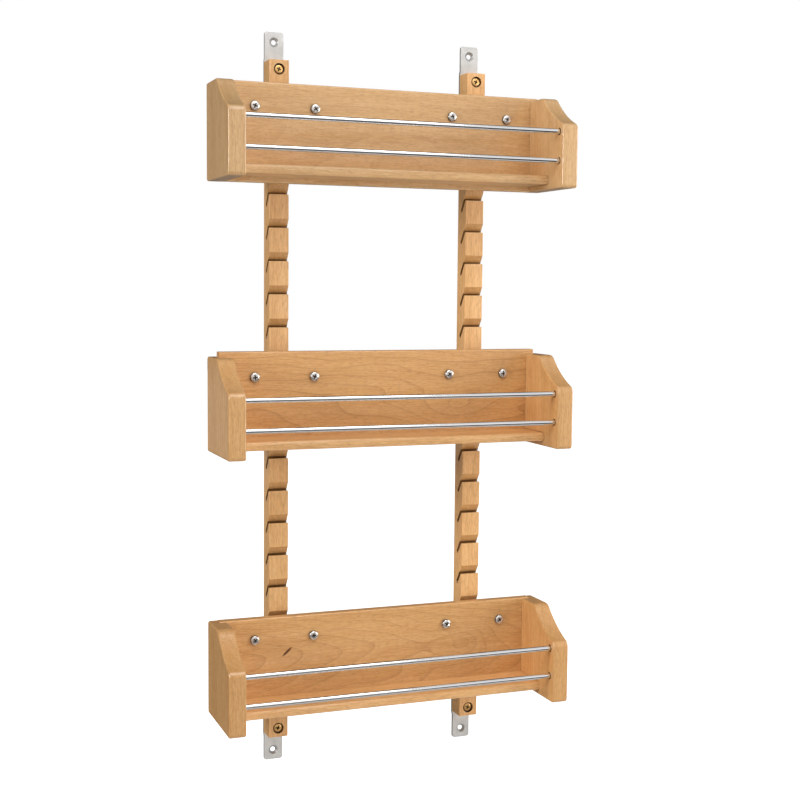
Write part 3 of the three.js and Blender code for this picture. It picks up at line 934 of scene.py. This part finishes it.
rod_chrome = chrome_finish("rod_chrome")
for tray in TRAYS:
    for level in ("upper", "lower"):
        node = f"{tray}_{level}_rod"
        low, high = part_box(node)
        axis = (low + high) / 2
        mesh = round_bar((high.z - low.z) / 2, low.x, high.x, "X", (axis.y, axis.z), 64)
        round_edges(mesh, rim_edges(mesh, low.x, high.x), ROD_CHAMFER, 3)
        rod = to_object(f"{node}_bar", mesh)
        finish_piece(rod, f"{tray}_tray", node, rod_chrome)


# ---- Hangers -----------------------------------------------------------------
# Zinc-plated plates screwed behind each back panel. A tongue is bent down and back out of
# the plate's lower edge, and drops into a kerf of the standard.

HANGER_THICKNESS = 1.6 * MM
HANGER_HEIGHT = 17 * MM
HANGER_CORNER = 3 * MM
TONGUE_WIDTH = 13 * MM
HANGER_EDGE_ROUND = 0.2 * MM

for tray in TRAYS:
    for h, (side, _) in enumerate(HANDS):
        node = f"{tray}_{side}_hanger"
        low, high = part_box(node)
        bend = high.z - HANGER_HEIGHT
        plate_y = low.y + HANGER_THICKNESS / 2
        middle = (low.x + high.x) / 2
        face = rounded_rectangle((low.x, bend), (high.x, high.z), HANGER_CORNER)
        plate = to_object(f"{node}_plate", prism(face, low.y, low.y + HANGER_THICKNESS, "Y"))
        lean = Vector((math.sin(KERF_ANGLE), -math.cos(KERF_ANGLE)))
        half_tip = Vector((math.cos(KERF_ANGLE), math.sin(KERF_ANGLE))) * HANGER_THICKNESS / 2
        tip_z = low.z + half_tip.y
        run = (bend - tip_z) / -lean.y
        path = [
            (plate_y, bend + HANGER_HEIGHT / 2),
            (plate_y, bend),
            (plate_y + lean.x * run, bend + lean.y * run),
        ]
        strip = bent_strip(path, HANGER_THICKNESS)
        tongue = prism(strip, middle - TONGUE_WIDTH / 2, middle + TONGUE_WIDTH / 2)
        combine(plate, [tongue], "UNION")
        combine(plate, screw_bores(tray, (2 * h + 1, 2 * h + 2), low, high))
        tumble(plate, HANGER_EDGE_ROUND, 2)
        finish_piece(plate, f"{tray}_tray", node, strap_zinc)


# ---- Pan-head screws ---------------------------------------------------------
# Four to a tray, driven through the back panel into the hangers, their heads left at
# whatever turn they came up tight.

NICKEL = (0.76, 0.73, 0.70)
DULL_NICKEL = (0.60, 0.56, 0.52)
TURN_STEP = 31

head_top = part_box("top_screw_1")[0].y
screw_nickel = plated_finish("screw_nickel", NICKEL, 0.22, DULL_NICKEL, head_top, 0.75)
for t, tray in enumerate(TRAYS):
    for i in range(4):
        node = f"{tray}_screw_{i + 1}"
        turn = FIRST_TURN + TURN_STEP * (i + 2 * t)
        screw = make_screw(f"{node}_nickel", node, PAN_SCREW, turn)
        finish_piece(screw, f"{tray}_tray", node, screw_nickel, SCREW_CREASE)


# ---- Floor, light and camera -------------------------------------------------
# A pale studio: a plain floor well below the hung rack, two soft lights from the right, one
# from the left, one overhead, and a weak one from below that bright metal doesn't mirror.
# To mirrors and to soft light, floor and walls are darker than they are to the camera.

FLOOR_DROP = 0.6
FLOOR_SIZE = 30
MAT_REACH = 7
MAT = [(0.0, 0.50), (0.13, 0.60), (0.17, 0.04), (0.75, 0.04), (1.0, 0.9)]
MAT_TINT = (1, 0.96, 0.92)
WALLS = [(0.0, 0.95), (0.48, 0.95), (0.62, 0.74), (0.95, 0.74)]
WHITE = (1, 1, 1, 1)
PALE_FLOOR = (0.9, 0.9, 0.9, 1)
REAR_WALL = (0.05, 0.05, 0.05, 1)
SOFT_LIGHT = (0.22, 0.22, 0.22, 1)

floor_mesh = bmesh.new()
bmesh.ops.create_grid(floor_mesh, x_segments=1, y_segments=1, size=FLOOR_SIZE / 2)
bmesh.ops.translate(floor_mesh, vec=(0, 0, -FLOOR_DROP), verts=floor_mesh.verts)
floor = to_object("studio_floor", floor_mesh)
floor_paint, tree, shader = new_finish("floor_paint")
ray = add_node(tree, "ShaderNodeLightPath").outputs
place = add_node(tree, "ShaderNodeTexCoord").outputs["Object"]
flat = stretched(tree, place, (1, 1, 0))
distance = add_node(tree, "ShaderNodeVectorMath", {0: flat}, operation="LENGTH").outputs["Value"]
outwards = calculate(tree, "DIVIDE", distance, MAT_REACH)
mat = ramp(tree, outwards, [(where, [level * c for c in MAT_TINT]) for where, level in MAT])
pale = tint(tree, ray["Is Glossy Ray"], PALE_FLOOR, mat)
tree.links.new(pale, shader.inputs["Base Color"])
shader.inputs["Roughness"].default_value = 0.9
shader.inputs["Emission Color"].default_value = WHITE
tree.links.new(ray["Is Camera Ray"], shader.inputs["Emission Strength"])
floor.data.materials.append(floor_paint)
floor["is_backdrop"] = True


def softbox(name, place, size, power):
    """A square area light aimed at the middle of the rack."""
    light = bpy.data.lights.new(name, "AREA")
    light.shape = "SQUARE"
    light.size = size
    light.energy = power
    lamp = bpy.data.objects.new(name, light)
    bpy.context.scene.collection.objects.link(lamp)
    lamp.location = place
    aim = (cad_low + cad_high) / 2 - Vector(place)
    lamp.rotation_mode = "QUATERNION"
    lamp.rotation_quaternion = aim.to_track_quat("-Z", "Y")
    return lamp


softbox("key_right", (1.8, -1.3, 0.4), 1.0, 17)
softbox("rim_right", (1.6, -0.2, 0.6), 0.7, 8)
softbox("fill_left", (-1.9, -0.4, 0.75), 0.6, 24)
softbox("overhead", (0.1, -1.1, 1.8), 1.2, 18)
softbox("bounce", (0.3, -1.1, -0.6), 0.8, 5).visible_glossy = False

world = bpy.data.worlds.new("studio")
bpy.context.scene.world = world
world.use_nodes = True
sky = world.node_tree
background = sky.nodes["Background"]
direction = add_node(sky, "ShaderNodeTexCoord").outputs["Generated"]
direction = add_node(sky, "ShaderNodeSeparateXYZ", {0: direction}).outputs
walls = ramp(sky, direction["Z"], [(place, (level,) * 3) for place, level in WALLS])
behind = remap(sky, direction["Y"], 0.0, 0.3)
walls = tint(sky, behind, walls, REAR_WALL)
ray = add_node(sky, "ShaderNodeLightPath").outputs
glow = tint(sky, ray["Is Glossy Ray"], SOFT_LIGHT, walls)
glow = tint(sky, ray["Is Camera Ray"], glow, WHITE)
sky.links.new(glow, background.inputs["Color"])

CAMERA_PLACE = (-0.4312, -1.2068, 0.4426)
CAMERA_YAW = 0.3650
CAMERA_PITCH = -0.0840
CAMERA_ROLL = 0.0090
CAMERA_LENS = 61.41
CAMERA_SENSOR = 36

lens = bpy.data.cameras.new("camera")
lens.sensor_width = CAMERA_SENSOR
lens.lens = CAMERA_LENS
camera = bpy.data.objects.new("camera", lens)
bpy.context.scene.collection.objects.link(camera)
camera.matrix_world = (
    Matrix.Translation(CAMERA_PLACE)
    @ Matrix.Rotation(-CAMERA_YAW, 4, "Z")
    @ Matrix.Rotation(math.pi / 2 + CAMERA_PITCH, 4, "X")
    @ Matrix.Rotation(CAMERA_ROLL, 4, "Z")
)
bpy.context.scene.camera = camera
bpy.context.scene.view_settings.view_transform = "Standard"

low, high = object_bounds()
